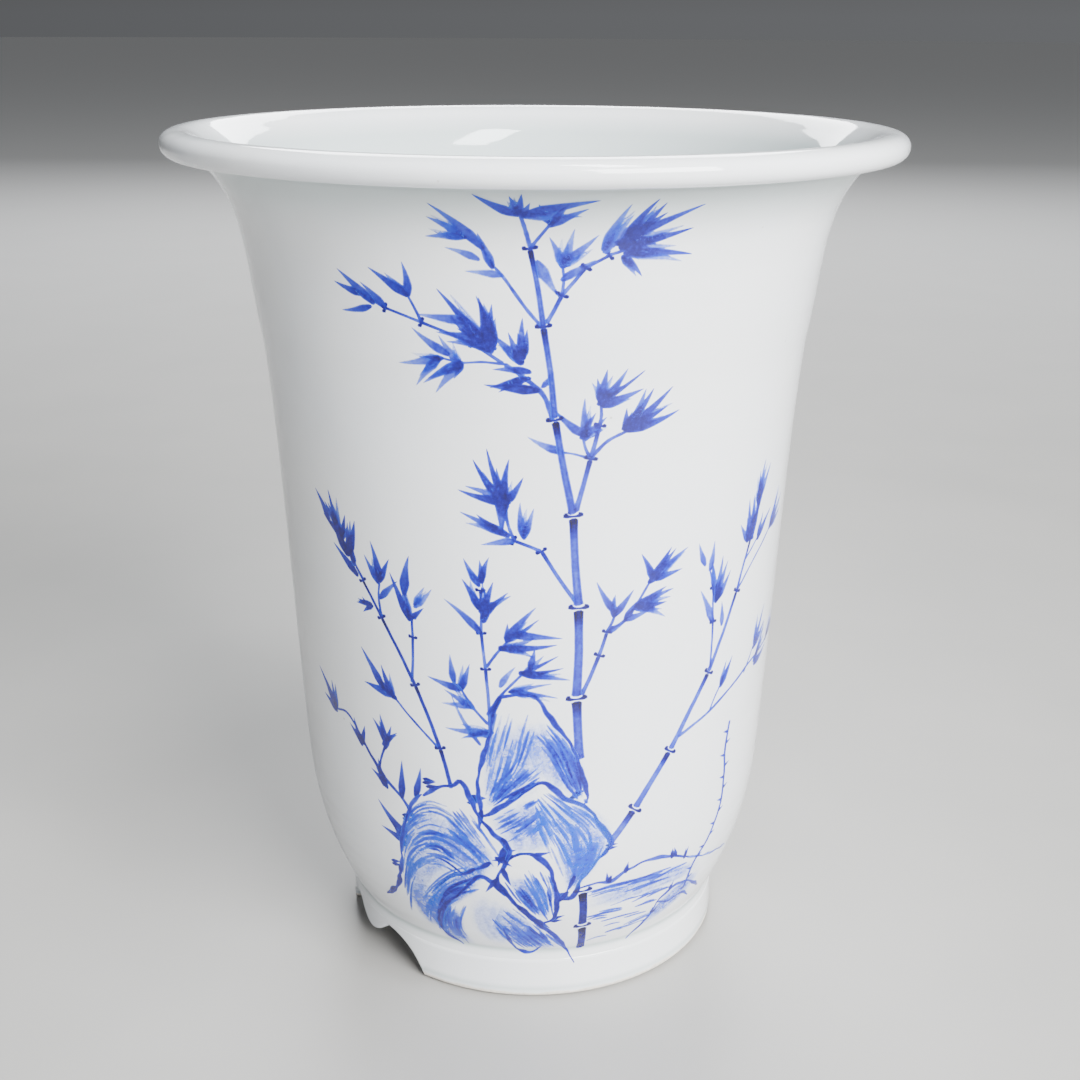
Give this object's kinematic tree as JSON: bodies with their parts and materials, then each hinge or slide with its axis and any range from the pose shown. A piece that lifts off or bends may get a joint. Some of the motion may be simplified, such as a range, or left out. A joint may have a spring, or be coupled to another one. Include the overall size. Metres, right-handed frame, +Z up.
{
  "type": "flared porcelain brush pot",
  "caption": "Tall glazed porcelain pot with a waisted body, flared mouth with a rolled lip, and a foot ring cut by bracket-shaped notches.",
  "frame": {"origin": "centre of the foot ring's standing edge, on the surface the pot stands on", "axes": "+Z up along the pot's axis, -Y towards the front, +X to the viewer's right"},
  "size_m": [0.2168, 0.2168, 0.26],
  "materials": {
    "bare_clay": "matte",
    "white_glaze": "gloss",
    "underglaze_blue": "gloss"
  },
  "bodies": {
    "root": {"foot_ring": "bare_clay", "pot_floor": "bare_clay", "pot_wall": "bare_clay", "mouth_rim": "bare_clay", "outer_glaze": "white_glaze", "inner_glaze": "white_glaze"}
  },
  "joints": []
}
